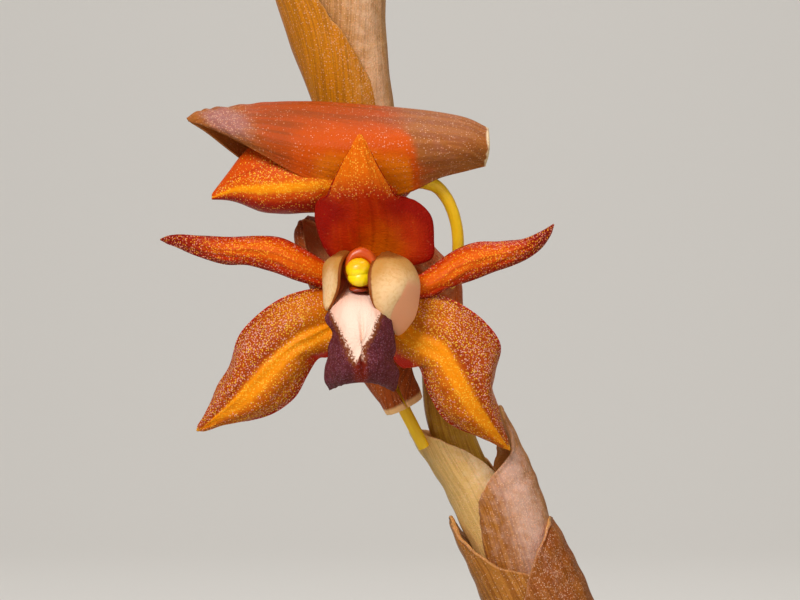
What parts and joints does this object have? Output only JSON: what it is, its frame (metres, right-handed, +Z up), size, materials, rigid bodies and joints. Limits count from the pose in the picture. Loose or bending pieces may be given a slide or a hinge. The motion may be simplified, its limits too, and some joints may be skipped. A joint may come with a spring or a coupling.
{
  "type": "potted orchid in flower",
  "caption": "Orchid with pleated leaves and egg-shaped bulbs in a clay pot, with one zigzag spike that carries an open orange-red flower, a bud and boat-shaped bracts.",
  "frame": {"origin": "centre of the pot's underside", "axes": "+Z up, -Y toward the side that the open flower faces, +X to the viewer's right of the flower"},
  "size_m": [0.2259, 0.1932, 0.2777],
  "materials": {
    "pot_clay": "fired unglazed clay, matt",
    "bark_mix": "loose coarse bark, matt",
    "rhizome_skin": "dry scaly skin, matt",
    "pseudobulb_skin": "smooth living skin, satin",
    "leaf_blade": "living leaf with pressed-in nerves, satin",
    "dry_sheath": "dried fibrous skin, matt",
    "spike_skin": "smooth living skin, satin",
    "pale_sheath": "fleshy sheath, satin",
    "brown_sheath": "striate sheath, satin",
    "bract_skin": "thin striate bract that lets light through, satin",
    "flower_stalk": "smooth stalk, satin",
    "sepal_tissue": "glistening flower tissue, satin",
    "petal_tissue": "glistening flower tissue, satin",
    "bud_tissue": "glistening flower tissue, satin",
    "lip_tissue": "velvety flower tissue",
    "column_tissue": "waxy flower tissue",
    "anther_tissue": "waxy flower tissue"
  },
  "bodies": {
    "root": {"anther_cap": "anther_tissue", "bulb_sheath_1": "dry_sheath", "bulb_sheath_2": "dry_sheath", "column": "column_tissue", "dorsal_sepal": "sepal_tissue", "floral_bract_bud": "bract_skin", "floral_bract_open": "bract_skin", "floral_bract_tip_left": "bract_skin", "floral_bract_tip_right": "bract_skin", "flower_bud": "bud_tissue", "growing_medium": "bark_mix", "lateral_sepal_left": "sepal_tissue", "lateral_sepal_right": "sepal_tissue", "leaf_1": "leaf_blade", "leaf_2": "leaf_blade", "leaf_3": "leaf_blade", "leaf_4": "leaf_blade", "leaf_5": "leaf_blade", "leaf_6": "leaf_blade", "leaf_7": "leaf_blade", "leaf_8": "leaf_blade", "leaf_9": "leaf_blade", "lip": "lip_tissue", "pedicel_bud": "flower_stalk", "pedicel_open": "flower_stalk", "petal_left": "petal_tissue", "petal_right": "petal_tissue", "pot": "pot_clay", "pseudobulb_1": "pseudobulb_skin", "pseudobulb_2": "pseudobulb_skin", "pseudobulb_3": "pseudobulb_skin", "pseudobulb_4": "pseudobulb_skin", "pseudobulb_5": "pseudobulb_skin", "rhizome": "rhizome_skin", "sheath_foot": "dry_sheath", "sheath_lower_left": "brown_sheath", "sheath_lower_right": "brown_sheath", "sheath_pale": "pale_sheath", "sheath_upper_left": "brown_sheath", "sheath_upper_right": "brown_sheath", "spike_stem": "spike_skin"}
  },
  "joints": []
}
